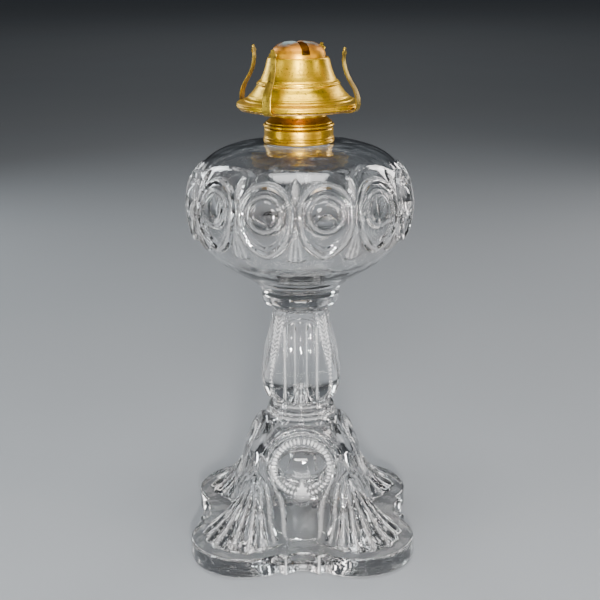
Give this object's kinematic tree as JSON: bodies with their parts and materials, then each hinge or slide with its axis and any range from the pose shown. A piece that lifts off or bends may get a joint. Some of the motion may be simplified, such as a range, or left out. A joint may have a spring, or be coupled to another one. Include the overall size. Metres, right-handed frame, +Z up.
{
  "type": "glass oil lamp",
  "caption": "Pressed-glass stand lamp: bull's-eye oil bowl on a fluted stem and lobed foot, brass collar and flat-wick burner with bell cone, spring prongs and slotted dome.",
  "frame": {"origin": "centre of the foot's underside, on the lamp's axis", "axes": "+Z up along the lamp's axis; -Y is the front, the side where a foot medallion faces the camera; the burner's slot lies 17 degrees off the YZ plane"},
  "size_m": [0.1336, 0.1336, 0.3005],
  "materials": {
    "clear_glass": "clear pressed glass, polished by fire, slightly wavy",
    "brass": "lacquered sheet brass, golden with brown tarnish",
    "dark_brass": "dull, tarnished sheet brass",
    "heated_brass": "brass coloured copper-brown by heat",
    "plaster": "matt plaster of Paris",
    "wick_cloth": "woven cotton, charred at its top"
  },
  "bodies": {
    "lamp": {"glass_pedestal": "clear_glass", "joining_wafer": "clear_glass", "glass_font": "clear_glass", "collar_cement": "plaster", "brass_collar": "brass"},
    "burner": {"burner_screw": "dark_brass", "burner_base": "brass", "air_plate": "dark_brass", "burner_cone": "brass", "flame_dome": "heated_brass", "wick_tube": "dark_brass", "vent_tube": "dark_brass", "spindle_bracket": "dark_brass", "spindle_ferrule": "brass"},
    "winder": {"wick_spindle": "dark_brass", "spur_wheel_1": "dark_brass", "spur_wheel_2": "dark_brass", "spur_wheel_3": "dark_brass", "thumb_knob": "brass"},
    "wick": {"wick": "wick_cloth"},
    "prong_1": {"chimney_prong_1": "brass"},
    "prong_2": {"chimney_prong_2": "brass"},
    "prong_3": {"chimney_prong_3": "brass"},
    "prong_4": {"chimney_prong_4": "brass"}
  },
  "joints": [
    {"name": "burner_lift", "type": "slide", "parent": "lamp", "child": "burner", "axis": [0, 0, 1], "range_m": [0, 0.06]},
    {"name": "spindle_turn", "type": "hinge", "parent": "burner", "child": "winder", "pos_m": [0.00478, 0.00146, 0.2583], "axis": [-0.2924, 0.9563, 0], "range_deg": [-128, 80]},
    {"name": "wick_rise", "type": "slide", "parent": "burner", "child": "wick", "axis": [0, 0, 1], "range_m": [-0.008, 0.005]},
    {"name": "prong_1_flex", "type": "hinge", "parent": "burner", "child": "prong_1", "pos_m": [0.01435, 0.02699, 0.2624], "axis": [-0.8829, 0.4695, 0], "range_deg": [0, 8], "stiffness_Nm_per_rad": 0.3},
    {"name": "prong_2_flex", "type": "hinge", "parent": "burner", "child": "prong_2", "pos_m": [-0.02699, 0.01435, 0.2624], "axis": [-0.4695, -0.8829, 0], "range_deg": [0, 8], "stiffness_Nm_per_rad": 0.3},
    {"name": "prong_3_flex", "type": "hinge", "parent": "burner", "child": "prong_3", "pos_m": [-0.01435, -0.02699, 0.2624], "axis": [0.8829, -0.4695, 0], "range_deg": [0, 8], "stiffness_Nm_per_rad": 0.3},
    {"name": "prong_4_flex", "type": "hinge", "parent": "burner", "child": "prong_4", "pos_m": [0.02699, -0.01435, 0.2624], "axis": [0.4695, 0.8829, 0], "range_deg": [0, 8], "stiffness_Nm_per_rad": 0.3}
  ],
  "couplings": [
    {"joint": "spindle_turn", "follows": "wick_rise", "rad_per_m": 277.78}
  ]
}
